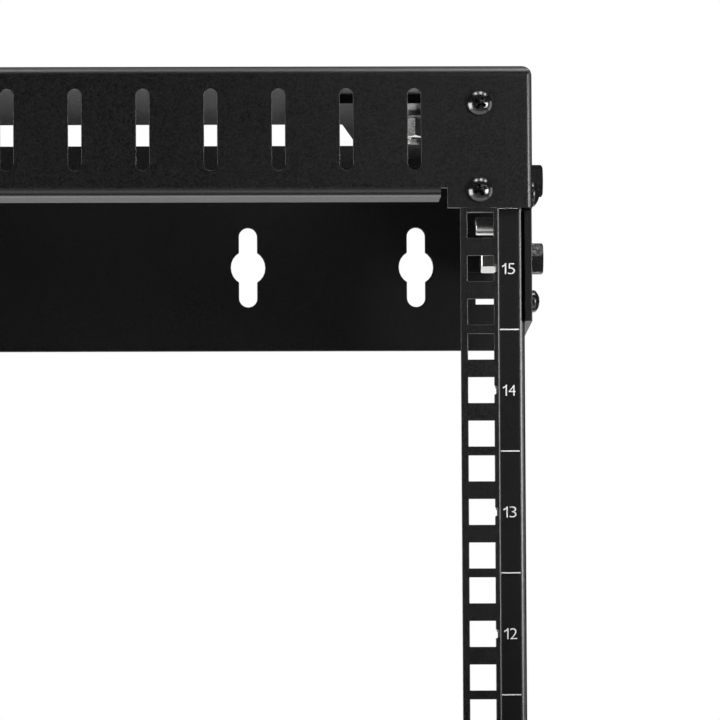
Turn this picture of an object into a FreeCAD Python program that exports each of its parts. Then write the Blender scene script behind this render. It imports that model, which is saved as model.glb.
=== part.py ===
import FreeCAD, Part
import math
import os

from FreeCAD import Vector

# Wall-mount open frame rack, fifteen units high, made of folded and bolted steel sheet.
# X runs to the right, Y towards the wall and Z up. The wall face is Y = 0, the underside Z = 0.
# Depths are given behind the front face, heights in the header below the top of the rack.

# Standard rack sizes
RACK_UNIT = 44.45
UNITS = 15
HOLE_COLUMN = 232.55
HOLE_SIDE = 9.5
HOLE_HEIGHTS = (6.35, 22.225, 38.1)
M6_CLEARANCE = 6.6
M5_CLEARANCE = 5.4

# Overall sizes
WIDTH = 503.2
DEPTH = 304.8
HEADER = 52.15
UNIT_FOOT = HEADER
UNIT_HEAD = HEADER + UNITS * RACK_UNIT
HEIGHT = UNIT_HEAD + HEADER
FRONT = -DEPTH

# Sheet and folds
HEAVY_SHEET = 2.7
RAIL_SHEET = 1.5
ARM_SHEET = 3.2
BEAM_FOLD = 4.0
CHEEK_FOLD = 2.0
RAIL_FOLD = 2.3
TIGHT_FOLD = 0.7
CLEARANCE = 0.3
BORE_FLATS = 12
SLOT_END_FLATS = 8
KEYHOLE_FLATS = 12

# Beams across the top and the bottom
LIP_DROP = 47.7
LIP_DEPTH = 25.0
LIP_END = 218.4
PANEL_DEPTH = 188.0
TAB_EDGE = 220.6
RELIEF_RISE = 7.3
CHEEK_DEPTH = 24.0
CHEEK_INSIDE = WIDTH / 2 - HEAVY_SHEET
CABLE_SLOTS_PER_SIDE = 8
CABLE_SLOT_PITCH = 24.75
CABLE_SLOT_OUTERMOST = 208.7
CABLE_SLOT_WIDTH = 4.8
CABLE_SLOT_LENGTH = 30.05
CABLE_SLOT_DROP = 23.4

# Rails
RAIL_INNER_EDGE = 225.2
STRIP_EDGE = 239.45
STRIP_SETBACK = 7.5
RAIL_FLANGE_DEPTH = 65.0
RAIL_OVERLAP = 44.0
JOGGLE_HEIGHT = 4.0
HOLE_NOTCH_DEPTH = 1.0
HOLE_NOTCH_HEIGHT = 3.4

# Side plates
PLATE_FOOT_DROP = 93.1
PLATE_FRONT = 6.5
PLATE_REAR = 225.0
PLATE_CORNER = 5.0

# Wall arms
ARM_FRONT = 79.0
ARM_DROP = 46.0
ARM_INNER_FRONT = 179.5
ARM_INNER_REAR = 202.0
ARM_SHELF_REAR = 296.0
ARM_FOOT_EDGE = 238.7

# Wall plates
WALL_PLATE_DROP = 78.35
TOP_WALL_PLATE_RISE = 0.65
KEYHOLE_COLUMNS = (155.9, 220.35)
KEYHOLE_DROP = 46.2
KEYHOLE_CIRCLE = 13.2
KEYHOLE_SLOT_WIDTH = 7.0
KEYHOLE_LENGTH = 30.7
END_NOTCH_EDGE = 243.2
END_NOTCH_FOOT_DROP = 60.65
END_NOTCH_HEIGHT = 6.0

# Side bolts: depth behind the front face, drop below the top
FRONT_UPPER_BOLT = (34.0, 39.2)
FRONT_LOWER_BOLT = (34.0, 67.85)
REAR_BOLT = (182.0, 41.85)
CHEEK_SCREW = (16.0, 45.7)
PLATE_SCREW = (23.0, 84.45)
PANEL_BOLT_DEPTH = 115.0
PANEL_BOLT_COLUMN = 212.8

X_FROM_PLANE = FreeCAD.Placement(Vector(), FreeCAD.Rotation(Vector(1, 1, 1), 120))


def block(x_range, y_range, z_range):
    """A plain box between two corners."""
    low = Vector(x_range[0], y_range[0], z_range[0])
    return Part.makeBox(x_range[1] - x_range[0], y_range[1] - y_range[0], z_range[1] - z_range[0], low)


def rounded_run(points, radii):
    """Straight edges through points, with an arc of the given radius at each inner point, or none for 0."""
    edges = []
    start = points[0]
    for before, corner, after, radius in zip(points, points[1:], points[2:], radii):
        if not radius:
            edges.append(Part.makeLine(start, corner))
            start = corner
            continue
        back = (before - corner).normalize()
        ahead = (after - corner).normalize()
        half_angle = back.getAngle(ahead) / 2
        reach = radius / math.tan(half_angle)
        bisector = (back + ahead).normalize()
        middle = corner + bisector * (radius / math.sin(half_angle) - radius)
        edges.append(Part.makeLine(start, corner + back * reach))
        edges.append(Part.Arc(corner + back * reach, middle, corner + ahead * reach).toShape())
        start = corner + ahead * reach
    edges.append(Part.makeLine(start, points[-1]))
    return edges


def folded_section(outline, thickness, radii):
    """Face of a sheet folded along an outline in the XY plane, with its metal on the left.

    Each radius is that of a fold's outer side; the hollow side is left sharp.
    """
    outside = [Vector(x, y, 0) for x, y in outline]
    runs = [(end - start).normalize() for start, end in zip(outside, outside[1:])]
    lefts = [Vector(-run.y, run.x, 0) for run in runs]
    inside = [outside[0] + lefts[0] * thickness]
    outside_radii = []
    inside_radii = []
    for corner, run, left, next_left, radius in zip(outside[1:], runs, lefts, lefts[1:], radii):
        inside.append(corner + (left + next_left) * (thickness / (1 + left.dot(next_left))))
        turns_left = run.dot(next_left) < 0
        outside_radii.append(radius if turns_left else 0)
        inside_radii.append(0 if turns_left else radius)
    inside.append(outside[-1] + lefts[-1] * thickness)
    edges = rounded_run(outside, outside_radii)
    edges.append(Part.makeLine(outside[-1], inside[-1]))
    edges += rounded_run(inside[::-1], inside_radii[::-1])
    edges.append(Part.makeLine(inside[0], outside[0]))
    return Part.Face(Part.Wire(edges))


def folded_across(outline, thickness, radii, x_range):
    """A folded sheet whose section lies in the YZ plane, carried along X."""
    solid = folded_section(outline, thickness, radii).extrude(Vector(0, 0, x_range[1] - x_range[0]))
    solid.Placement = X_FROM_PLANE
    return solid.translated(Vector(x_range[0], 0, 0))


def polygon_prism(points, direction):
    """A flat polygon of 3D points carried along a direction."""
    return Part.Face(Part.makePolygon(points + points[:1])).extrude(direction)


def bore(start, along, diameter):
    """A cutter for a bolt hole: a prism along one axis whose flats touch the given diameter."""
    across = Vector(along.y, along.z, along.x).normalize()
    upright = along.cross(across).normalize()
    reach = diameter / 2 / math.cos(math.pi / BORE_FLATS)
    turns = [2 * math.pi * step / BORE_FLATS for step in range(BORE_FLATS)]
    points = [start + (across * math.cos(turn) + upright * math.sin(turn)) * reach for turn in turns]
    return polygon_prism(points, along)


def bore_x(x_range, depth, height, diameter):
    """A bolt hole cutter along X."""
    return bore(Vector(x_range[0], FRONT + depth, height), Vector(x_range[1] - x_range[0], 0, 0), diameter)


def bore_y(x, y_range, z, diameter):
    """A bolt hole cutter along Y."""
    return bore(Vector(x, y_range[0], z), Vector(0, y_range[1] - y_range[0], 0), diameter)


def slot_y(x, y_range, z, width, length, flats):
    """An upright slot as a cutter along Y, each round end drawn with a number of flats."""
    points = []
    for end in (0, 1):
        middle = z + (length - width) / 2 * (1 - 2 * end)
        for step in range(flats + 1):
            turn = math.pi * (end + step / flats)
            side, rise = width / 2 * math.cos(turn), width / 2 * math.sin(turn)
            points.append(Vector(x + side, y_range[0], middle + rise))
    return polygon_prism(points, Vector(0, y_range[1] - y_range[0], 0))


def upside_down(shape):
    """The same piece at the other end of the rack's height."""
    return shape.mirror(Vector(0, 0, HEIGHT / 2), Vector(0, 0, 1))


def other_side(shape):
    """The same piece at the other side of the rack's middle."""
    return shape.mirror(Vector(0, 0, 0), Vector(1, 0, 0))


def both_sides(shape):
    """A cutter or wing and its mirror image across the middle of the rack."""
    return [shape, other_side(shape)]


def beam_cap():
    """Right end of the top beam: face, top and cheek meeting in a rounded corner."""
    shell_range = ((LIP_END, WIDTH / 2), (FRONT, FRONT + CHEEK_DEPTH), (UNIT_HEAD, HEIGHT))
    shell = round_corner(block(*shell_range))
    core = block((LIP_END - 1, CHEEK_INSIDE), (FRONT + HEAVY_SHEET, FRONT + CHEEK_DEPTH + 1),
                 (UNIT_HEAD - 1, HEIGHT - HEAVY_SHEET))
    relief = block((LIP_END - 1, TAB_EDGE), (FRONT - 1, FRONT + CHEEK_DEPTH + 1),
                   (UNIT_HEAD - 1, UNIT_HEAD + RELIEF_RISE))
    return shell.cut([core, relief])


def round_corner(box):
    """Rounds the three edges that meet at a box's right, front, top corner, the upright one tighter.

    Each edge is rounded on a copy of its own, and what the copies share is kept.
    """
    corner = Vector(box.BoundBox.XMax, box.BoundBox.YMin, box.BoundBox.ZMax)
    shape = box
    for edge in box.Edges:
        if any(vertex.Point.distanceToPoint(corner) < CLEARANCE for vertex in edge.Vertexes):
            radius = CHEEK_FOLD if edge.BoundBox.ZLength > CLEARANCE else BEAM_FOLD
            shape = shape.common(box.makeFillet(radius, [edge]))
    return shape


def top_beam():
    """Front face with its cable slots, the lip under it, the top panel and two end caps."""
    top_fold = [(FRONT + PANEL_DEPTH, HEIGHT), (FRONT, HEIGHT)]
    lip_fold = [(FRONT, HEIGHT - LIP_DROP), (FRONT + LIP_DEPTH, HEIGHT - LIP_DROP)]
    channel = folded_across(top_fold + lip_fold, HEAVY_SHEET, (BEAM_FOLD, BEAM_FOLD), (-LIP_END, LIP_END))
    wing = block((LIP_END, CHEEK_INSIDE - CLEARANCE), (FRONT + CHEEK_DEPTH, FRONT + PANEL_DEPTH),
                 (HEIGHT - HEAVY_SHEET, HEIGHT))
    beam = channel.fuse(both_sides(wing) + both_sides(beam_cap())).removeSplitter()

    through_face = (FRONT - 1, FRONT + HEAVY_SHEET + 1)
    cutters = []
    for step in range(CABLE_SLOTS_PER_SIDE):
        x = CABLE_SLOT_OUTERMOST - step * CABLE_SLOT_PITCH
        cutters += both_sides(slot_y(x, through_face, HEIGHT - CABLE_SLOT_DROP,
                                     CABLE_SLOT_WIDTH, CABLE_SLOT_LENGTH, SLOT_END_FLATS))
    for rise in (HOLE_HEIGHTS[0], HOLE_HEIGHTS[2]):
        cutters += both_sides(bore_y(HOLE_COLUMN, through_face, UNIT_HEAD + rise, M5_CLEARANCE))
    depth, drop = CHEEK_SCREW
    cutters += both_sides(bore_x((CHEEK_INSIDE - 1, WIDTH / 2 + 1), depth, HEIGHT - drop, M5_CLEARANCE))
    cutters += both_sides(panel_bolt_hole())
    return beam.cut(cutters)


def panel_bolt_hole():
    """The upright bolt hole through the top panel and the wall arm under it."""
    start = Vector(PANEL_BOLT_COLUMN, FRONT + PANEL_BOLT_DEPTH, HEIGHT + 1)
    return bore(start, Vector(0, 0, -HEAVY_SHEET - ARM_SHEET - 2), M6_CLEARANCE)


def unit_hole(z, notched):
    """A square hole of the rail as a cutter, the middle one of each unit with a notch in its outer side."""
    half = HOLE_SIDE / 2
    front = FRONT - 1
    hole = block((HOLE_COLUMN - half, HOLE_COLUMN + half), (front, FRONT + HEAVY_SHEET + RAIL_SHEET + 1),
                 (z - half, z + half))
    if not notched:
        return hole
    edge = HOLE_COLUMN + half
    wide = HOLE_NOTCH_HEIGHT / 2
    narrow = wide - HOLE_NOTCH_DEPTH / 2
    outline = [(edge - half, wide), (edge, wide), (edge + HOLE_NOTCH_DEPTH, narrow),
               (edge + HOLE_NOTCH_DEPTH, -narrow), (edge, -wide), (edge - half, -wide)]
    points = [Vector(x, front, z + rise) for x, rise in outline]
    return hole.fuse(polygon_prism(points, Vector(0, STRIP_SETBACK + RAIL_SHEET + 2, 0)))


def rail_tongue():
    """The rail's upper end, stepped back behind the beam's face."""
    front = FRONT + HEAVY_SHEET
    back = front + RAIL_SHEET
    inside_face = FRONT + RAIL_SHEET / 2
    step = UNIT_HEAD - JOGGLE_HEIGHT
    side = [(inside_face, UNIT_HEAD), (inside_face, step - HEAVY_SHEET),
            (FRONT + RAIL_SHEET, step - HEAVY_SHEET), (back, step),
            (back, UNIT_HEAD + RAIL_OVERLAP), (front, UNIT_HEAD + RAIL_OVERLAP), (front, UNIT_HEAD)]
    points = [Vector(RAIL_INNER_EDGE, y, z) for y, z in side]
    return polygon_prism(points, Vector(STRIP_EDGE - RAIL_SHEET / 2 - RAIL_INNER_EDGE, 0, 0))


def right_rail():
    """Folded rail: square-hole face, set-back strip for the unit numbers and side flange."""
    outline = [(RAIL_INNER_EDGE, FRONT), (STRIP_EDGE, FRONT), (STRIP_EDGE, FRONT + STRIP_SETBACK),
               (CHEEK_INSIDE, FRONT + STRIP_SETBACK), (CHEEK_INSIDE, FRONT + RAIL_FLANGE_DEPTH)]
    foot = UNIT_FOOT - RAIL_OVERLAP
    head = UNIT_HEAD + RAIL_OVERLAP
    section = folded_section(outline, RAIL_SHEET, (TIGHT_FOLD, 0, RAIL_FOLD))
    rail = section.extrude(Vector(0, 0, head - foot))
    rail.translate(Vector(0, 0, foot))

    face_range = ((RAIL_INNER_EDGE - 1, STRIP_EDGE + 1), (FRONT - 1, FRONT + HEAVY_SHEET))
    room_for_beams = [block(*face_range, (UNIT_HEAD, head + 1)), block(*face_range, (foot - 1, UNIT_FOOT))]
    tongue = rail_tongue()
    rail = rail.cut(room_for_beams).fuse([tongue, upside_down(tongue)]).removeSplitter()

    cutters = []
    for unit in range(UNITS):
        for height in HOLE_HEIGHTS:
            cutters.append(unit_hole(UNIT_FOOT + unit * RACK_UNIT + height, height == HOLE_HEIGHTS[1]))
    through_tongue = (FRONT + HEAVY_SHEET - 1, FRONT + HEAVY_SHEET + RAIL_SHEET + 1)
    for rise in (HOLE_HEIGHTS[0], HOLE_HEIGHTS[2]):
        hole = bore_y(HOLE_COLUMN, through_tongue, UNIT_HEAD + rise, M5_CLEARANCE)
        cutters += [hole, upside_down(hole)]
    through_flange = (CHEEK_INSIDE - RAIL_SHEET - 1, CHEEK_INSIDE + 1)
    for (depth, drop), diameter in ((FRONT_UPPER_BOLT, M6_CLEARANCE), (FRONT_LOWER_BOLT, M6_CLEARANCE),
                                    (CHEEK_SCREW, M5_CLEARANCE), (PLATE_SCREW, M5_CLEARANCE)):
        hole = bore_x(through_flange, depth, HEIGHT - drop, diameter)
        cutters += [hole, upside_down(hole)]
    return rail.cut(cutters)


def upper_right_side_plate():
    """Flat plate outside the rail and the wall arm, notched round the beam's cheek."""
    foot = HEIGHT - PLATE_FOOT_DROP
    step = UNIT_HEAD - CLEARANCE
    outline = [(PLATE_FRONT, foot), (PLATE_REAR - PLATE_CORNER, foot), (PLATE_REAR, foot + PLATE_CORNER),
               (PLATE_REAR, HEIGHT), (CHEEK_DEPTH + CLEARANCE, HEIGHT),
               (CHEEK_DEPTH + CLEARANCE, step), (PLATE_FRONT, step)]
    points = [Vector(CHEEK_INSIDE, FRONT + depth, z) for depth, z in outline]
    plate = polygon_prism(points, Vector(HEAVY_SHEET, 0, 0))
    through = (CHEEK_INSIDE - 1, WIDTH / 2 + 1)
    cutters = [bore_x(through, depth, HEIGHT - drop, M6_CLEARANCE)
               for depth, drop in (FRONT_UPPER_BOLT, FRONT_LOWER_BOLT, REAR_BOLT)]
    depth, drop = PLATE_SCREW
    cutters.append(bore_x(through, depth, HEIGHT - drop, M5_CLEARANCE))
    return plate.cut(cutters)


def upper_right_wall_arm():
    """Tapered shelf under the top panel, a web inside the side plate and a foot on the wall plate."""
    top = HEIGHT - HEAVY_SHEET
    wall_plate_face = -HEAVY_SHEET
    outline = [(CHEEK_INSIDE, FRONT + ARM_FRONT), (CHEEK_INSIDE, wall_plate_face),
               (ARM_FOOT_EDGE, wall_plate_face)]
    web = folded_section(outline, ARM_SHEET, (BEAM_FOLD,)).extrude(Vector(0, 0, ARM_DROP))
    web.translate(Vector(0, 0, top - ARM_DROP))
    shelf_corners = [(ARM_INNER_FRONT, ARM_FRONT), (CHEEK_INSIDE, ARM_FRONT),
                     (CHEEK_INSIDE, ARM_SHELF_REAR), (ARM_INNER_REAR, ARM_SHELF_REAR)]
    points = [Vector(x, FRONT + depth, top - ARM_SHEET) for x, depth in shelf_corners]
    shelf = polygon_prism(points, Vector(0, 0, ARM_SHEET))
    arm = web.fuse(shelf).removeSplitter()
    depth, drop = REAR_BOLT
    through_web = (CHEEK_INSIDE - ARM_SHEET - 1, CHEEK_INSIDE + 1)
    rear_hole = bore_x(through_web, depth, HEIGHT - drop, M6_CLEARANCE)
    return arm.cut([rear_hole, panel_bolt_hole()])


def upper_wall_plate(rise):
    """Flat plate against the wall, with double-ended keyholes and a notch at each end.

    Its upper edge may stand a little proud of the rack's top.
    """
    through = (-HEAVY_SHEET - 1, 1)
    plate = block((-WIDTH / 2, WIDTH / 2), (-HEAVY_SHEET, 0), (HEIGHT - WALL_PLATE_DROP, HEIGHT + rise))
    cutters = []
    for column in KEYHOLE_COLUMNS:
        middle = HEIGHT - KEYHOLE_DROP
        slot = slot_y(column, through, middle, KEYHOLE_SLOT_WIDTH, KEYHOLE_LENGTH, KEYHOLE_FLATS)
        circle = slot_y(column, through, middle, KEYHOLE_CIRCLE, KEYHOLE_CIRCLE + CLEARANCE, KEYHOLE_FLATS)
        cutters += both_sides(slot.fuse(circle))
    notch_foot = HEIGHT - END_NOTCH_FOOT_DROP
    notch = block((END_NOTCH_EDGE, WIDTH / 2 + 1), through, (notch_foot, notch_foot + END_NOTCH_HEIGHT))
    return plate.cut(cutters + both_sides(notch))


def save(name, shape):
    """Writes one piece under its own name."""
    solid = shape.Solids[0] if len(shape.Solids) == 1 else shape
    solid.exportStep(f"parts/{name}.step")
    print(f"{name}: {len(shape.Solids)} solid, {solid.Volume / 1000:.1f} cm3, valid {solid.isValid()}")


def main():
    os.makedirs("parts", exist_ok=True)
    beam = top_beam()
    save("top_beam", beam)
    save("bottom_beam", upside_down(beam))
    save("top_wall_plate", upper_wall_plate(TOP_WALL_PLATE_RISE))
    save("bottom_wall_plate", upside_down(upper_wall_plate(0.0)))
    rail = right_rail()
    save("right_rail", rail)
    save("left_rail", other_side(rail))
    for name, piece in (("side_plate", upper_right_side_plate()), ("wall_arm", upper_right_wall_arm())):
        save(f"upper_right_{name}", piece)
        save(f"upper_left_{name}", other_side(piece))
        save(f"lower_right_{name}", upside_down(piece))
        save(f"lower_left_{name}", upside_down(other_side(piece)))


main()
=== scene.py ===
import math

import bmesh
import bpy
import numpy as np
from mathutils import Matrix, Vector


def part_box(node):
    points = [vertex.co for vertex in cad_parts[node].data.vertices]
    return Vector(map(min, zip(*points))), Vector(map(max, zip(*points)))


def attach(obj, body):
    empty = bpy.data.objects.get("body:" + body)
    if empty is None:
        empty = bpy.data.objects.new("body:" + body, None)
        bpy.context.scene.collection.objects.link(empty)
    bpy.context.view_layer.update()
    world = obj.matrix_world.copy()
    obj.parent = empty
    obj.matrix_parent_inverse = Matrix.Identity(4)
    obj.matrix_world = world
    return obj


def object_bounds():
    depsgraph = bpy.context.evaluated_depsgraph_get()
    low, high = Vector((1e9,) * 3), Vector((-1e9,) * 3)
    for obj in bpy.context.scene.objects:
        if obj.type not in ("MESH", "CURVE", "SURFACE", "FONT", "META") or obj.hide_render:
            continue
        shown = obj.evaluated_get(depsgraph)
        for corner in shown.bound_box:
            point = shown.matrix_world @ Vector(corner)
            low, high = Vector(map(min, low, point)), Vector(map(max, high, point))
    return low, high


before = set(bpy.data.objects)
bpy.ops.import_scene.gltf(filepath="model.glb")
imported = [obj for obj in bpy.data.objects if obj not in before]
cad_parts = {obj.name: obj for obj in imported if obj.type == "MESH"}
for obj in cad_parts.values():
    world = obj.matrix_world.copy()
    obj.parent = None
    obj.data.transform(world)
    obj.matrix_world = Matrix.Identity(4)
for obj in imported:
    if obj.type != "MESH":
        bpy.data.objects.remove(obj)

# Looks of a wall-mount open frame rack: powder coat, fasteners, unit lines and numbers, light and camera.
# X runs to the right, Y towards the wall and Z up, in metres. The wall face is Y = 0, the underside Z = 0.

cad_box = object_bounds()
TOP_BEAM_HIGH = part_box("top_beam")[1]
SIDE = TOP_BEAM_HIGH[0]
HEIGHT = TOP_BEAM_HIGH[2]
FRONT = cad_box[0][1]
MM = 0.001

# Standard rack sizes
UNIT = 44.45 * MM
UNITS = 15
UNIT_FOOT = (HEIGHT - UNITS * UNIT) / 2
HOLE_COLUMN = 232.55 * MM
LOW_HOLE, HIGH_HOLE = 6.35 * MM, 38.1 * MM

# Sheet faces that carry fasteners and print
HEAVY_SHEET = 2.7 * MM
RAIL_SHEET = 1.5 * MM
ARM_SHEET = 3.2 * MM
STRIP_SETBACK = 7.5 * MM
RAIL_FLANGE_INSIDE = SIDE - HEAVY_SHEET - RAIL_SHEET
ARM_WEB_INSIDE = SIDE - HEAVY_SHEET - ARM_SHEET
SHELF_UNDERSIDE = HEAVY_SHEET + ARM_SHEET

# Side fasteners: depth behind the front face, drop below the top
FRONT_UPPER_BOLT = (34.0 * MM, 39.2 * MM)
FRONT_LOWER_BOLT = (34.0 * MM, 67.85 * MM)
REAR_BOLT = (182.0 * MM, 41.85 * MM)
CHEEK_SCREW = (16.0 * MM, 45.7 * MM)
PLATE_SCREW = (23.0 * MM, 84.45 * MM)

# Panel bolts: depth behind the front face, distance from the middle line
PANEL_BOLT = (115.0 * MM, 212.8 * MM)

# Turns of heads and nuts round their axes, in degrees
LOW_SCREW_TURN, HIGH_SCREW_TURN = 20.0, 60.0
CHEEK_SCREW_TURN, PLATE_SCREW_TURN = 20.0, 50.0
UPPER_BOLT_TURN, LOWER_BOLT_TURN, REAR_BOLT_TURN = 20.0, -4.0, 40.0
SLEEVE_TURN = 23.0
PANEL_BOLT_TURN, PANEL_NUT_TURN = 15.0, 27.0

# Fastener sizes
FRONT_PAN, CHEEK_PAN, PLATE_PAN = 4.6 * MM, 4.7 * MM, 4.05 * MM
PAN_RIM, HIGH_PAN_RIM, PAN_EDGE, DOME_RATIO = 0.8 * MM, 1.3 * MM, 0.25 * MM, 1.35
RECESS_REACH, RECESS_WIDTH, RECESS_DEPTH, RECESS_WALL = 2.3 * MM, 0.9 * MM, 1.6 * MM, 0.25 * MM
HEX_FLATS, HEX_HEIGHT = 10.6 * MM, 5.2 * MM
HEAD_CHAMFER, HEAD_CONE = 0.475, math.radians(30)
WASHER_RADIUS, WASHER_HEIGHT = 6.0 * MM, 1.6 * MM
SLEEVE_FLATS, SLEEVE_EDGE, SLEEVE_FACE = 9.0 * MM, 0.8 * MM, 233.9 * MM
BARREL_RADIUS, BARREL_BORE, BARREL_FACE = 3.4 * MM, 2.1 * MM, 238.3 * MM
THREAD_RADIUS, THREAD_DEPTH, THREAD_PITCH = 3.0 * MM, 0.5 * MM, 1.0 * MM
THREAD_END = 2.2 * MM
NUT_HEIGHT = 7.3 * MM
FLANGE_RADIUS, FLANGE_HEIGHT = 6.8 * MM, 2.0 * MM

# Fineness of turned pieces: columns round the axis, rings along the profile
PAN_COLUMNS, HEX_COLUMNS, WASHER_COLUMNS, ROUND_COLUMNS, THREAD_COLUMNS = 96, 72, 48, 64, 40
RECESS_RINGS, DOME_RINGS, BEND_RINGS, RINGS_PER_PITCH = 40, 12, 6, 8
MERGE_DISTANCE = 1e-7
SHARP_ANGLE = math.radians(32)

# Print on the rails
PRINT_THICKNESS = 0.05 * MM
PRINT_SHIFT = 0.5 * MM
LINE_ENDS = (239.55 * MM, 246.7 * MM)
LINE_HEIGHT = 0.45 * MM
NUMBER_MIDDLE = 243.0 * MM
NUMBER_HEIGHT = 4.0 * MM

# Numerals in a box one high
ONE_WIDTH, ONE_STEM, DIGIT_WIDTH, NUMBER_GAP = 0.39, 0.13, 0.66, 0.13
NUMERAL_THINNING = 0.012

# Coats and platings
EDGE_ROUNDING = 0.45 * MM
GRAIN_HEIGHT = 0.05 * MM

# Camera of the photograph: angles in degrees, lens in millimetres
CAMERA_PLACE = Vector((0.0004, -5.8550, 0.1883))
CAMERA_YAW, CAMERA_PITCH, CAMERA_ROLL = 1.9401, 4.8886, -0.3213
CAMERA_LENS = 766.08

# Surroundings: level of their light, share of white in reflections and on the floor that the camera sees
AMBIENT, MIRRORED_SHARE, FLOOR_LIFT = 0.01, 0.02, 0.65


# Shader expressions

class Shade:
    """A shader socket that takes Python arithmetic: each operator on it adds one Math node."""

    def __init__(self, tree, socket):
        self.tree = tree
        self.socket = socket

    def node(self, kind, settings, inputs, output=0):
        """Adds a node of any kind: its settings first, then the values or links of its sockets."""
        made = self.tree.nodes.new(kind)
        for name, value in settings.items():
            setattr(made, name, value)
        for name, value in inputs.items():
            self.feed(made.inputs[name], value)
        return Shade(self.tree, made.outputs[output])

    def feed(self, socket, value):
        """Links a shade to a socket, or sets a plain value on it."""
        if isinstance(value, Shade):
            self.tree.links.new(value.socket, socket)
        else:
            socket.default_value = value

    def math(self, operation, first, second):
        """A Math node on two values, either of which may be a shade."""
        return self.node("ShaderNodeMath", {"operation": operation}, {0: first, 1: second})

    def __add__(self, other):
        return self.math("ADD", self, other)

    def __sub__(self, other):
        return self.math("SUBTRACT", self, other)

    def __rsub__(self, other):
        return self.math("SUBTRACT", other, self)

    def __mul__(self, other):
        return self.math("MULTIPLY", self, other)

    __radd__ = __add__
    __rmul__ = __mul__

    def noise(self, scale, detail=2.0, roughness=0.5):
        """Noise on these coordinates, from 0 to 1, with scale in cells to the metre."""
        inputs = {"Vector": self, "Scale": scale, "Detail": detail, "Roughness": roughness}
        return self.node("ShaderNodeTexNoise", {}, inputs, "Fac")

    def blend(self, low, high):
        """The colour low where this shade is 0 and high where it is 1."""
        return self.node("ShaderNodeMix", {"data_type": "RGBA"}, {0: self, 6: low, 7: high}, 2)

    def bump(self, strength, distance, normal=None):
        """A normal that follows this shade as a height."""
        inputs = {"Strength": strength, "Distance": distance, "Height": self}
        if normal:
            inputs["Normal"] = normal
        return self.node("ShaderNodeBump", {}, inputs)


def new_finish(name):
    """A material with its Principled shader and its Object coordinates as a shade."""
    material = bpy.data.materials.new(name)
    material.use_nodes = True
    tree = material.node_tree
    place = Shade(tree, tree.nodes.new("ShaderNodeTexCoord").outputs["Object"])
    return material, tree.nodes["Principled BSDF"].inputs, place


def grey(value):
    """An opaque neutral colour."""
    return (value, value, value, 1.0)


# Finishes

def black_powder_coat():
    """Fine textured black coat: grain a fraction of a millimetre wide over a soft orange peel."""
    material, shader, place = new_finish("black_powder_coat")
    grain = place.noise(1800.0, 3.0, 0.6)
    peel = place.noise(420.0, 1.0)
    drift = place.noise(14.0, 2.0)
    rounded = place.node("ShaderNodeBevel", {"samples": 6}, {"Radius": EDGE_ROUNDING})
    speckle = 3.0 * (grain - 0.5) + 0.3 * drift + 0.35
    place.feed(shader["Base Color"], speckle.blend(grey(0.0), grey(0.011)))
    place.feed(shader["Roughness"], 0.22 + 0.14 * grain + 0.04 * drift)
    place.feed(shader["Normal"], (grain + 0.6 * peel).bump(0.5, GRAIN_HEIGHT, rounded))
    return material


def black_hardware(name, roughness, mottle, gloss):
    """Black plated screw and bolt heads, glossier or more mottled."""
    material, shader, place = new_finish(name)
    plating = place.noise(1200.0, 3.0)
    place.feed(shader["Base Color"], plating.blend(grey(0.002), grey(0.008)))
    place.feed(shader["Roughness"], roughness + mottle * (plating - 0.5))
    place.feed(shader["Normal"], plating.bump(0.3, GRAIN_HEIGHT))
    shader["Specular IOR Level"].default_value = gloss
    return material


def zinc_hardware():
    """Bright zinc plate on nuts and bolt ends, a little clouded."""
    material, shader, place = new_finish("zinc_hardware")
    cloud = place.noise(500.0, 3.0)
    place.feed(shader["Base Color"], cloud.blend((0.36, 0.36, 0.35, 1.0), (0.62, 0.62, 0.61, 1.0)))
    place.feed(shader["Roughness"], 0.22 + 0.16 * cloud)
    place.feed(shader["Normal"], cloud.bump(0.1, GRAIN_HEIGHT))
    shader["Metallic"].default_value = 1.0
    return material


def white_print():
    """Screen-printed white ink, slightly thin where the coat's grain shows through."""
    material, shader, place = new_finish("white_print")
    thin = place.noise(1700.0, 3.0, 0.6)
    place.feed(shader["Base Color"], thin.blend(grey(0.62), grey(0.90)))
    place.feed(shader["Roughness"], 0.45 + 0.2 * thin)
    return material


def pale_floor():
    """Matt pale studio floor with a faint unevenness, mixed with white where the camera looks."""
    material, shader, place = new_finish("pale_floor")
    drift = place.noise(1.5, 2.0)
    place.feed(shader["Base Color"], drift.blend(grey(0.80), grey(0.84)))
    shader["Roughness"].default_value = 0.9
    shader["Specular IOR Level"].default_value = 0.1
    nodes = material.node_tree.nodes
    lit = Shade(place.tree, nodes["Principled BSDF"].outputs[0])
    white = place.node("ShaderNodeEmission", {}, {"Color": grey(1.0)})
    seen = place.node("ShaderNodeLightPath", {}, {}, "Is Camera Ray")
    shown = place.node("ShaderNodeMixShader", {}, {0: FLOOR_LIFT * seen, 1: lit, 2: white})
    place.feed(nodes["Material Output"].inputs["Surface"], shown)
    return material


# Surfaces of two parameters

def turned(radii, heights, columns):
    """Rings of the given radii and heights round the Z axis; both may also vary with the angle."""
    angle = np.linspace(0, 2 * np.pi, columns, endpoint=False)
    radius, height = (np.broadcast_to(np.asarray(value).reshape(len(value), -1), (len(value), columns))
                      for value in (radii, heights))
    return np.stack([radius * np.cos(angle), radius * np.sin(angle), height], -1)


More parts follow.
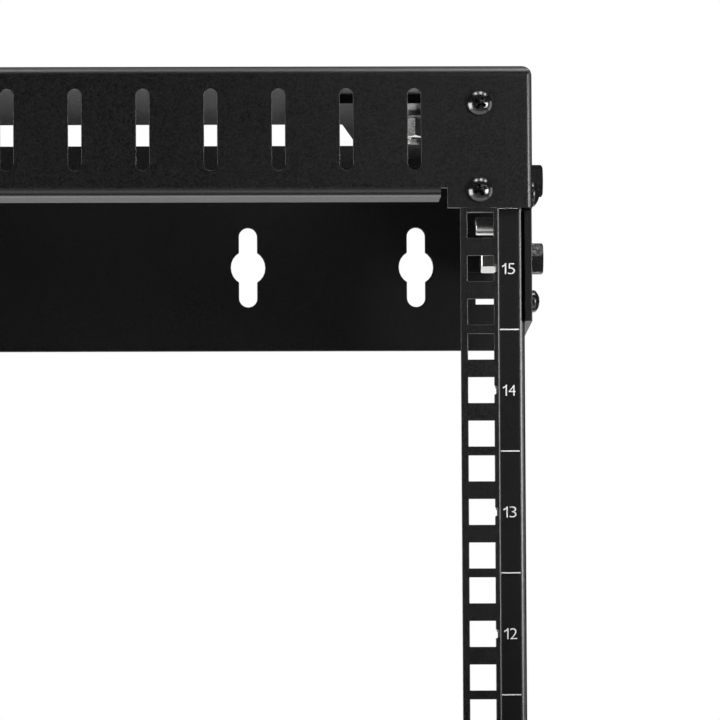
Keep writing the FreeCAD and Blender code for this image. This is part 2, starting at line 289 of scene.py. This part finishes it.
def pan_head(radius, rim):
    """Domed screw head with an upright rim and a cross recess.

    The dome is a cap of a sphere, rounded off into the upright rim. The recess sinks evenly along two
    crossed arms, with steep walls at their sides and ends.
    """
    sphere = DOME_RATIO * radius
    slope = np.arcsin((radius - PAN_EDGE) / sphere)
    inner = np.linspace(0, RECESS_REACH, RECESS_RINGS)
    outer = sphere * np.sin(np.linspace(np.arcsin(RECESS_REACH / sphere), slope, DOME_RINGS))[1:]
    dome = np.concatenate([inner, outer])
    turn = np.linspace(slope, np.pi / 2, BEND_RINGS)[1:]
    edge = PAN_EDGE / (1 - np.sin(slope))
    edge_radii = radius - edge * (1 - np.sin(turn))
    edge_heights = edge * np.cos(turn)
    dome_heights = np.sqrt(sphere ** 2 - dome ** 2) - sphere * np.cos(slope) + edge * np.cos(slope)
    radii = np.concatenate([dome, edge_radii, [radius, 0.0]])
    heights = np.concatenate([dome_heights + rim, edge_heights + rim, [0.0, 0.0]])
    head = turned(radii, heights, PAN_COLUMNS)
    top = head[:len(dome)]

    def arm(along, across):
        """Depth of one arm, full in its middle and falling off at its ends and past its half width."""
        end = np.clip((RECESS_REACH - np.abs(along)) / RECESS_WALL, 0, 1)
        wall = np.clip((RECESS_WIDTH / 2 - np.abs(across)) / RECESS_WALL + 0.5, 0, 1)
        return RECESS_DEPTH * end * wall

    top[..., 2] -= np.maximum(arm(top[..., 0], top[..., 1]), arm(top[..., 1], top[..., 0]))
    return head


def hex_radius(flats):
    """Distance from the axis to a hexagon's edge at evenly spaced angles, with a corner at angle zero."""
    angle = np.linspace(0, 2 * np.pi, HEX_COLUMNS, endpoint=False)
    return flats / 2 / np.cos(angle % (np.pi / 3) - np.pi / 6)


def hex_block(height, both_ends):
    """Hexagonal head or nut whose ends are cut by a cone, which gives each flat a curved end."""
    hexagon = hex_radius(HEX_FLATS)
    circle = np.minimum(hexagon, HEAD_CHAMFER * HEX_FLATS)
    cone = (hexagon - circle) * math.tan(HEAD_CONE)
    nothing = np.zeros(HEX_COLUMNS)
    foot = cone if both_ends else nothing
    radii = np.stack([nothing, circle, hexagon, hexagon, circle, nothing])
    heights = np.stack([nothing, nothing, foot, height - cone, nothing + height, nothing + height])
    return turned(radii, heights, HEX_COLUMNS)


def hex_sleeve(length):
    """Hexagonal body of a rivet nut: straight flats, then a quarter round into its flat end."""
    hexagon = hex_radius(SLEEVE_FLATS)
    bend = np.linspace(0, np.pi / 2, BEND_RINGS)
    rounded = hexagon - SLEEVE_EDGE + SLEEVE_EDGE * np.cos(bend)[:, None]
    nothing = np.zeros((1, HEX_COLUMNS))
    radii = np.concatenate([nothing, hexagon[None], rounded, nothing])
    heights = np.concatenate([[0.0, 0.0], length - SLEEVE_EDGE + SLEEVE_EDGE * np.sin(bend), [length]])
    return turned(radii, heights, HEX_COLUMNS)


def washer():
    """Flat round washer with slightly broken edges."""
    edge = 0.2 * MM
    radii = [0.0, WASHER_RADIUS - edge, WASHER_RADIUS, WASHER_RADIUS, WASHER_RADIUS - edge, 0.0]
    heights = [0.0, 0.0, edge, WASHER_HEIGHT - edge, WASHER_HEIGHT, WASHER_HEIGHT]
    return turned(radii, heights, WASHER_COLUMNS)


def flange():
    """Round flange under a nut: a low rim, then a cone that runs up to the hexagon."""
    edge, neck = 0.3 * MM, 0.45 * HEX_FLATS
    rim, shoulder, top = 0.7 * FLANGE_HEIGHT, 0.8 * FLANGE_HEIGHT, 1.5 * FLANGE_HEIGHT
    radii = [0.0, FLANGE_RADIUS, FLANGE_RADIUS, FLANGE_RADIUS - edge, neck, 0.0]
    heights = [0.0, 0.0, rim, shoulder, top, top]
    return turned(radii, heights, ROUND_COLUMNS)


def barrel(length):
    """Smooth barrel of a rivet nut, with a rounded end and the mouth of its bore."""
    edge, taper, bore_depth = 0.5 * MM, 0.3 * MM, 2.0 * MM
    bend = np.linspace(0, np.pi / 2, BEND_RINGS)
    radii = [0.0, BARREL_RADIUS] + list(BARREL_RADIUS - edge + edge * np.cos(bend))
    radii += [BARREL_BORE, BARREL_BORE - taper, 0.0]
    heights = [0.0, 0.0] + list(length - edge + edge * np.sin(bend))
    heights += [length, length - bore_depth, length - bore_depth]
    return turned(radii, heights, ROUND_COLUMNS)


def thread(length):
    """Threaded bolt end: the radius rises and falls once a pitch along a helix, and a cone cuts the tip."""
    tip_length, tip_slope = 1.0 * MM, 0.9
    steps = int(RINGS_PER_PITCH * length / THREAD_PITCH)
    along = np.linspace(0, length, steps)[:, None]
    turn = np.linspace(0, 1, THREAD_COLUMNS, endpoint=False)
    wave = np.abs(((along / THREAD_PITCH - turn) % 1) * 2 - 1)
    ridge = THREAD_RADIUS - THREAD_DEPTH * (1 - wave)
    tip = THREAD_RADIUS - tip_slope * np.clip(along - (length - tip_length), 0, None)
    nothing = np.zeros((1, THREAD_COLUMNS))
    radii = np.concatenate([nothing, np.minimum(ridge, tip), nothing])
    heights = np.concatenate([[0.0], along[:, 0], [length]])
    return turned(radii, heights, THREAD_COLUMNS)


def aimed(surface, at, axis, turn=0.0):
    """A surface carried to a place, with its Z axis along another axis and turned round it, in degrees."""
    aim = Vector(axis).to_track_quat("Z", "Y").to_matrix() @ Matrix.Rotation(math.radians(turn), 3, "Z")
    return surface @ np.array(aim).T + np.array(at)


# Meshes

def joined(name, surfaces, material):
    """One piece from closed ring surfaces: quads between rings, poles merged, hard edges kept hard."""
    corners = []
    faces = []
    start = 0
    for surface in surfaces:
        rings, columns = surface.shape[:2]
        index = start + np.arange(rings * columns).reshape(rings, columns)
        beside = np.roll(index, -1, 1)
        quads = np.stack([index[:-1], beside[:-1], beside[1:], index[1:]], -1)
        corners.append(surface.reshape(-1, 3))
        faces.append(quads.reshape(-1, 4))
        start += rings * columns
    mesh = bpy.data.meshes.new(name)
    mesh.from_pydata(np.concatenate(corners), [], np.concatenate(faces))
    welded = bmesh.new()
    welded.from_mesh(mesh)
    bmesh.ops.remove_doubles(welded, verts=welded.verts, dist=MERGE_DISTANCE)
    bmesh.ops.dissolve_degenerate(welded, edges=welded.edges, dist=MERGE_DISTANCE)
    bmesh.ops.recalc_face_normals(welded, faces=welded.faces)
    welded.to_mesh(mesh)
    welded.free()
    mesh.shade_smooth()
    mesh.set_sharp_from_angle(angle=SHARP_ANGLE)
    return added(name, mesh, material)


def added(name, mesh, material):
    """Puts a finished mesh into the scene as a piece of the rack."""
    mesh.materials.append(material)
    piece = bpy.data.objects.new(name, mesh)
    bpy.context.scene.collection.objects.link(piece)
    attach(piece, "root")
    return piece


def corners_of_rack():
    """Sign pairs of the four corners seen from the front: side, then top or bottom."""
    return [(side, level) for side in (1, -1) for level in (1, -1)]


def level_height(drop, level):
    """Height of something that lies this far below the top, or as far above the underside."""
    return HEIGHT - drop if level > 0 else drop


# Fasteners

def front_screws(material):
    """Two cross-recess screws through each end of the beams into the rails."""
    screws = ((LOW_HOLE, LOW_SCREW_TURN), (HIGH_HOLE, HIGH_SCREW_TURN))
    head = pan_head(FRONT_PAN, PAN_RIM)
    heads = []
    for side, level in corners_of_rack():
        for rise, turn in screws:
            at = (side * HOLE_COLUMN, FRONT, level_height(UNIT_FOOT - rise, level))
            heads.append(aimed(head, at, (0, -1, 0), turn * side))
    return joined("front_screws", heads, material)


def side_screws(material):
    """A cross-recess screw through each beam cheek and one through each side plate."""
    screws = ((CHEEK_SCREW, pan_head(CHEEK_PAN, PAN_RIM), CHEEK_SCREW_TURN),
              (PLATE_SCREW, pan_head(PLATE_PAN, HIGH_PAN_RIM), PLATE_SCREW_TURN))
    heads = []
    for side, level in corners_of_rack():
        for (depth, drop), head, turn in screws:
            at = (side * SIDE, FRONT + depth, level_height(drop, level))
            heads.append(aimed(head, at, (side, 0, 0), turn))
    return joined("side_screws", heads, material)


def side_bolts(material):
    """Hex heads of the bolts through each side plate."""
    bolts = ((FRONT_UPPER_BOLT, UPPER_BOLT_TURN), (FRONT_LOWER_BOLT, LOWER_BOLT_TURN),
             (REAR_BOLT, REAR_BOLT_TURN))
    head = hex_block(HEX_HEIGHT, False)
    heads = []
    for side, level in corners_of_rack():
        for (depth, drop), turn in bolts:
            at = (side * SIDE, FRONT + depth, level_height(drop, level))
            heads.append(aimed(head, at, (side, 0, 0), turn * side))
    return joined("side_bolts", heads, material)


def side_nuts(material):
    """Inside each side: washers and hexagonal rivet nuts on the front bolts, a round one on the rear."""
    sleeve_foot = RAIL_FLANGE_INSIDE - WASHER_HEIGHT
    front_stack = ((washer(), RAIL_FLANGE_INSIDE, 0.0),
                   (hex_sleeve(sleeve_foot - SLEEVE_FACE), sleeve_foot, SLEEVE_TURN))
    rear_stack = ((barrel(ARM_WEB_INSIDE - BARREL_FACE), ARM_WEB_INSIDE, 0.0),)
    stacks = ((FRONT_UPPER_BOLT, front_stack), (FRONT_LOWER_BOLT, front_stack), (REAR_BOLT, rear_stack))
    pieces = []
    for side, level in corners_of_rack():
        for (depth, drop), stack in stacks:
            for surface, foot, turn in stack:
                at = (side * foot, FRONT + depth, level_height(drop, level))
                pieces.append(aimed(surface, at, (-side, 0, 0), turn * side))
    return joined("side_nuts", pieces, material)


def panel_bolts(material):
    """Hex heads on the top and bottom panels."""
    depth, column = PANEL_BOLT
    head = hex_block(HEX_HEIGHT, False)
    heads = []
    for side, level in corners_of_rack():
        at = (side * column, FRONT + depth, level_height(0.0, level))
        heads.append(aimed(head, at, (0, 0, level), PANEL_BOLT_TURN))
    return joined("panel_bolts", heads, material)


def panel_nuts(material):
    """Flanged nuts and bolt ends under the wall arms' shelves."""
    depth, column = PANEL_BOLT
    stack = ((flange(), 0.0, 0.0), (hex_block(NUT_HEIGHT, True), FLANGE_HEIGHT, PANEL_NUT_TURN),
             (thread(THREAD_END), FLANGE_HEIGHT + NUT_HEIGHT, 0.0))
    pieces = []
    for side, level in corners_of_rack():
        for surface, start, turn in stack:
            at = (side * column, FRONT + depth, level_height(SHELF_UNDERSIDE + start, level))
            pieces.append(aimed(surface, at, (0, 0, -level), turn))
    return joined("panel_nuts", pieces, material)


# Print

def slabs(outline, middles):
    """Upright slabs of one flat outline, facing the front, at many middles: front, back and side walls.

    The outline runs anticlockwise seen from the front, as X and Z offsets; each slab stands proud of its
    middle by the print's thickness. Returns corners and faces, walls as quads and ends as polygons.
    """
    count = len(outline)
    flat = np.stack([outline[:, 0], np.zeros(count), outline[:, 1]], -1)
    shape = np.concatenate([flat - (0, PRINT_THICKNESS, 0), flat])
    corners = (np.asarray(middles)[:, None, :] + shape).reshape(-1, 3)
    ring = np.arange(count)
    walls = np.stack([ring, ring + count, np.roll(ring, -1) + count, np.roll(ring, -1)], -1)
    starts = 2 * count * np.arange(len(middles))
    fronts = ring + starts[:, None]
    backs = ring[::-1] + count + starts[:, None]
    faces = (walls + starts[:, None, None]).reshape(-1, 4).tolist() + fronts.tolist() + backs.tolist()
    return corners, faces


def unit_lines(material):
    """White lines across both rail strips at each unit boundary, the outermost ones close to the beams."""
    low, high = LINE_ENDS
    half = np.array([(high - low) / 2, LINE_HEIGHT / 2])
    outline = np.array([(-1, -1), (1, -1), (1, 1), (-1, 1)]) * half
    side, boundary = np.meshgrid((-1.0, 1.0), np.arange(UNITS + 1), indexing="ij")
    middles = np.stack([side * (low + high) / 2, np.full(side.shape, FRONT + STRIP_SETBACK),
                        UNIT_FOOT + boundary * UNIT + PRINT_SHIFT], -1).reshape(-1, 3)
    mesh = bpy.data.meshes.new("unit_lines")
    corners, faces = slabs(outline, middles)
    mesh.from_pydata(corners, [], faces)
    return added("unit_lines", mesh, material)


def one_mesh():
    """The numeral one with its flag, in a box one high."""
    stem = ONE_WIDTH - ONE_STEM
    outline = np.array([(stem, 0.0), (ONE_WIDTH, 0.0), (ONE_WIDTH, 1.0), (0.29, 1.0), (0.18, 0.86),
                        (0.0, 0.77), (0.0, 0.64), (0.14, 0.70), (stem, 0.79)])
    corners, faces = slabs(outline, [(0.0, 0.0, 0.0)])
    mesh = bpy.data.meshes.new("numeral")
    mesh.from_pydata(corners, [], faces)
    return mesh


def digit_mesh(digit):
    """A numeral from the built-in typeface, upright in the XZ plane, in a box one high.

    Its own width, thickness and height are stretched to the digit's width, the print's thickness and one.
    """
    words = bpy.data.curves.new("numeral", "FONT")
    words.body = digit
    words.extrude = 0.01
    words.offset = -NUMERAL_THINNING
    text = bpy.data.objects.new("numeral", words)
    bpy.context.scene.collection.objects.link(text)
    bpy.context.view_layer.update()
    mesh = bpy.data.meshes.new_from_object(text.evaluated_get(bpy.context.evaluated_depsgraph_get()))
    bpy.data.objects.remove(text)
    points = np.empty(len(mesh.vertices) * 3)
    mesh.vertices.foreach_get("co", points)
    points = points.reshape(-1, 3)
    low, high = points.min(0), points.max(0)
    x, z, y = ((points - low) / (high - low)).T
    mesh.vertices.foreach_set("co", np.stack([DIGIT_WIDTH * x, -PRINT_THICKNESS * y, z], -1).ravel())
    return mesh


def unit_numbers(material):
    """The number of each unit on both rail strips, counted from the bottom."""
    gathered = bmesh.new()
    for unit in range(UNITS):
        digits = str(unit + 1)
        widths = [ONE_WIDTH if digit == "1" else DIGIT_WIDTH for digit in digits]
        total = sum(widths) + NUMBER_GAP * (len(digits) - 1)
        height = UNIT_FOOT + (unit + 0.5) * UNIT + PRINT_SHIFT - NUMBER_HEIGHT / 2
        for side in (1, -1):
            start = side * NUMBER_MIDDLE - total / 2 * NUMBER_HEIGHT
            for digit, width in zip(digits, widths):
                numeral = one_mesh() if digit == "1" else digit_mesh(digit)
                size = Matrix.Diagonal((NUMBER_HEIGHT, 1.0, NUMBER_HEIGHT, 1.0))
                numeral.transform(Matrix.Translation((start, FRONT + STRIP_SETBACK, height)) @ size)
                gathered.from_mesh(numeral)
                bpy.data.meshes.remove(numeral)
                start += (width + NUMBER_GAP) * NUMBER_HEIGHT
    bmesh.ops.recalc_face_normals(gathered, faces=gathered.faces)
    mesh = bpy.data.meshes.new("unit_numbers")
    gathered.to_mesh(mesh)
    gathered.free()
    return added("unit_numbers", mesh, material)


# Studio

def floor():
    """A wide pale floor under the bolt heads on which the rack stands."""
    reach, level = 6.0, -HEX_HEIGHT
    corners = [(x * reach, y * reach, level) for x, y in ((-1, -1), (1, -1), (1, 1), (-1, 1))]
    mesh = bpy.data.meshes.new("floor")
    mesh.from_pydata(corners, [], [(0, 1, 2, 3)])
    mesh.materials.append(pale_floor())
    plane = bpy.data.objects.new("floor", mesh)
    bpy.context.scene.collection.objects.link(plane)


def soft_box(name, place, target, size, power, spread=180.0):
    """A rectangular studio light aimed at a point; a spread below 180 degrees narrows its beam."""
    data = bpy.data.lights.new(name, "AREA")
    data.shape = "RECTANGLE"
    data.size, data.size_y = size
    data.energy = power
    data.spread = math.radians(spread)
    lamp = bpy.data.objects.new(name, data)
    lamp.location = place
    lamp.visible_camera = False
    lamp.rotation_euler = (Vector(target) - Vector(place)).to_track_quat("-Z", "Y").to_euler()
    bpy.context.scene.collection.objects.link(lamp)


def lights():
    """Soft boxes at both sides and overhead, lamps over the front edge, low light from front and behind.

    The right light is narrow, so that it reaches the corner and less of the wall plate behind it.
    """
    corner = Vector((0.2, FRONT, 0.7))
    soft_box("right_light", (0.585, -0.65, 0.68), corner, size=(0.19, 0.24), power=0.34, spread=54.0)
    soft_box("corner_light", (0.42, -0.80, 0.96), corner, size=(0.3, 0.3), power=0.3)
    soft_box("right_side_light", (1.50, -0.45, 0.50), corner, size=(0.5, 1.2), power=5.0)
    soft_box("left_light", (-1.30, -0.95, 0.42), corner, size=(0.8, 1.0), power=31.0)
    for name, x in (("left_top_light", -0.02), ("middle_top_light", 0.32), ("right_top_light", 0.66)):
        soft_box(name, (x, -0.465, 1.47), (x, FRONT, 0.77), size=(0.16, 0.25), power=1.2)
    soft_box("overhead_light", (0.2, -0.2, 2.0), (0.2, -0.2, 0.0), size=(1.6, 1.4), power=8.0)
    soft_box("front_low_light", (0.1, -0.62, 0.06), (0.1, -0.62, 1.0), size=(1.6, 0.3), power=1.8)
    soft_box("rear_low_light", (0.1, 1.2, 0.25), (0.2, -0.2, 0.72), size=(1.6, 0.4), power=1.8)
    soft_box("rear_floor_light", (0.1, 0.47, 0.10), (0.1, 0.47, 1.0), size=(1.4, 0.7), power=5.0)


def surroundings():
    """White where the camera looks, dimmer in reflections, and a soft even light for everything else."""
    world = bpy.data.worlds.new("studio")
    bpy.context.scene.world = world
    world.use_nodes = True
    tree = world.node_tree
    path = tree.nodes.new("ShaderNodeLightPath").outputs
    kinds = ("Is Camera Ray", "Is Transmission Ray", "Is Glossy Ray")
    seen, through, mirrored = (Shade(tree, path[kind]) for kind in kinds)
    shown = seen + through + MIRRORED_SHARE * mirrored
    background = tree.nodes["Background"].inputs
    seen.feed(background["Color"], shown.blend(grey(AMBIENT), grey(1.0)))
    background["Strength"].default_value = 1.0


def camera():
    """A long lens from a little below the frame's middle, turned up towards its top right corner."""
    yaw, pitch, roll = (math.radians(angle) for angle in (CAMERA_YAW, CAMERA_PITCH, CAMERA_ROLL))
    forward = Vector((math.sin(yaw) * math.cos(pitch), math.cos(yaw) * math.cos(pitch), math.sin(pitch)))
    level = Vector((math.cos(yaw), -math.sin(yaw), 0.0))
    above = level.cross(forward)
    right = level * math.cos(roll) + above * math.sin(roll)
    up = above * math.cos(roll) - level * math.sin(roll)
    data = bpy.data.cameras.new("photo_camera")
    data.lens = CAMERA_LENS
    data.clip_end = 200.0
    eye = bpy.data.objects.new("photo_camera", data)
    turn = Matrix((right, up, -forward)).transposed().to_4x4()
    eye.matrix_world = Matrix.Translation(CAMERA_PLACE) @ turn
    bpy.context.scene.collection.objects.link(eye)
    bpy.context.scene.camera = eye


def paint_frame(material):
    """Gives every sheet piece of the frame the powder coat."""
    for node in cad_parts.values():
        node.data.materials.clear()
        node.data.materials.append(material)


paint_frame(black_powder_coat())
smooth = black_hardware("smooth_black_hardware", roughness=0.16, mottle=0.12, gloss=0.7)
mottled = black_hardware("mottled_black_hardware", roughness=0.34, mottle=1.2, gloss=0.22)
bright = zinc_hardware()
ink = white_print()
front_screws(smooth)
side_screws(smooth)
side_bolts(mottled)
panel_bolts(mottled)
side_nuts(bright)
panel_nuts(bright)
unit_lines(ink)
unit_numbers(ink)
floor()
lights()
surroundings()
camera()
bpy.context.scene.view_settings.view_transform = "Standard"
